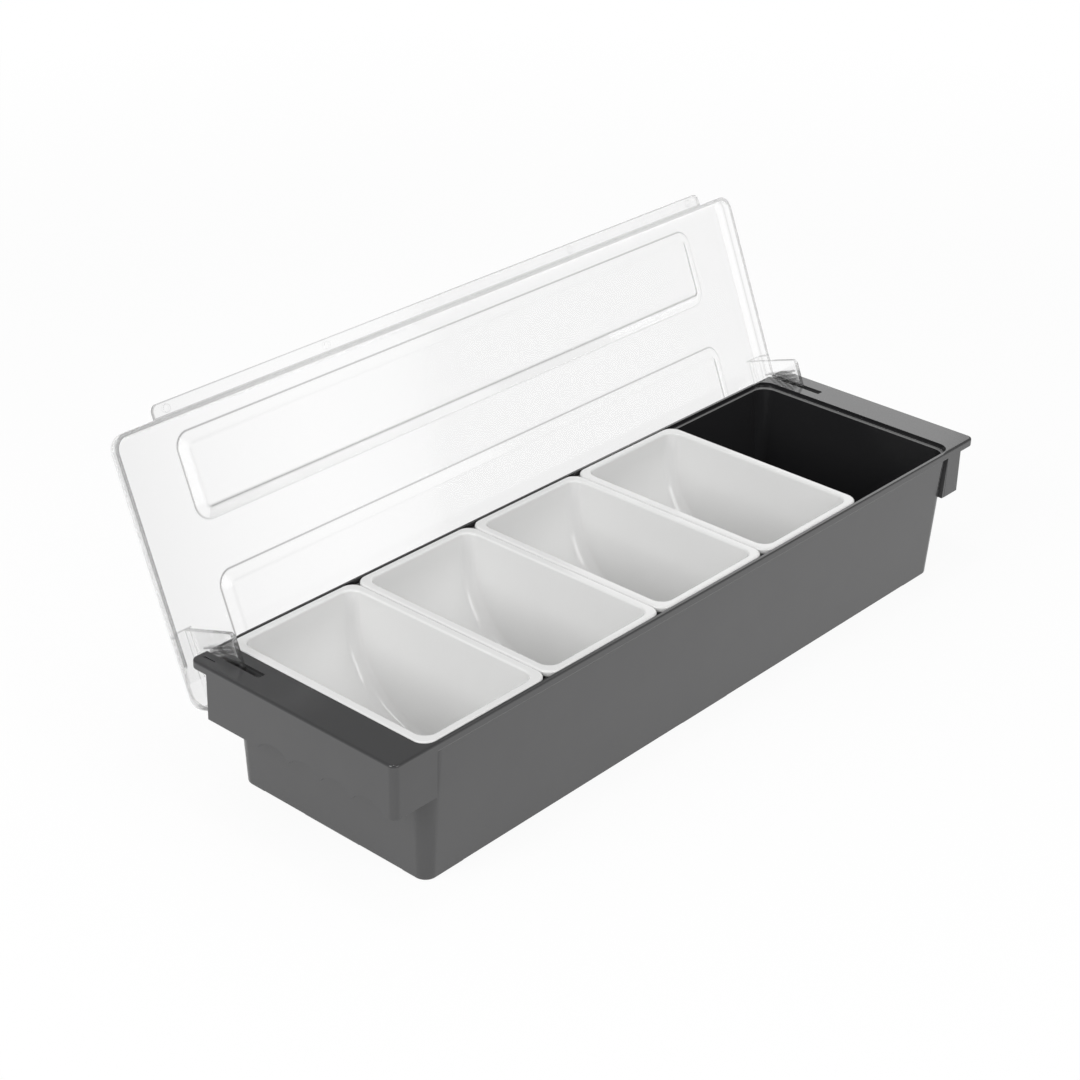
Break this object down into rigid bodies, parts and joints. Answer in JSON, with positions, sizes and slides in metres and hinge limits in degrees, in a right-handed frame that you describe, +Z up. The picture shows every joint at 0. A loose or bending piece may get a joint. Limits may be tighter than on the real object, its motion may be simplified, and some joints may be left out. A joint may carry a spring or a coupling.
{
  "type": "bar garnish tray",
  "caption": "Long plastic garnish tray with lift-out scoop-bottomed tubs, end flanges with finger grips, and a clear lid hinged at the back.",
  "frame": {"origin": "centre of the underside, in the plane of the feet", "axes": "+X along the tray towards the empty place, +Y towards the hinged back, +Z up"},
  "size_m": [0.5, 0.202, 0.1959],
  "materials": {
    "body_plastic": "black moulded, satin gloss",
    "lid_plastic": "clear moulded, polished",
    "tub_plastic": "white moulded, semi-gloss"
  },
  "bodies": {
    "tray": {"tray_body": "body_plastic"},
    "lid": {"lid": "lid_plastic"},
    "tub_1": {"tub_1": "tub_plastic"},
    "tub_2": {"tub_2": "tub_plastic"},
    "tub_3": {"tub_3": "tub_plastic"},
    "tub_4": {"tub_4": "tub_plastic"}
  },
  "joints": [
    {"name": "lid_hinge", "type": "hinge", "parent": "tray", "child": "lid", "pos_m": [0, 0.0609, 0.0711], "axis": [-1, 0, 0], "range_deg": [-112.5, 0]},
    {"name": "tub_1_lift", "type": "slide", "parent": "tray", "child": "tub_1", "axis": [0, 0, 1], "range_m": [0, 0.09]},
    {"name": "tub_2_lift", "type": "slide", "parent": "tray", "child": "tub_2", "axis": [0, 0, 1], "range_m": [0, 0.09]},
    {"name": "tub_3_lift", "type": "slide", "parent": "tray", "child": "tub_3", "axis": [0, 0, 1], "range_m": [0, 0.09]},
    {"name": "tub_4_lift", "type": "slide", "parent": "tray", "child": "tub_4", "axis": [0, 0, 1], "range_m": [0, 0.09]}
  ]
}
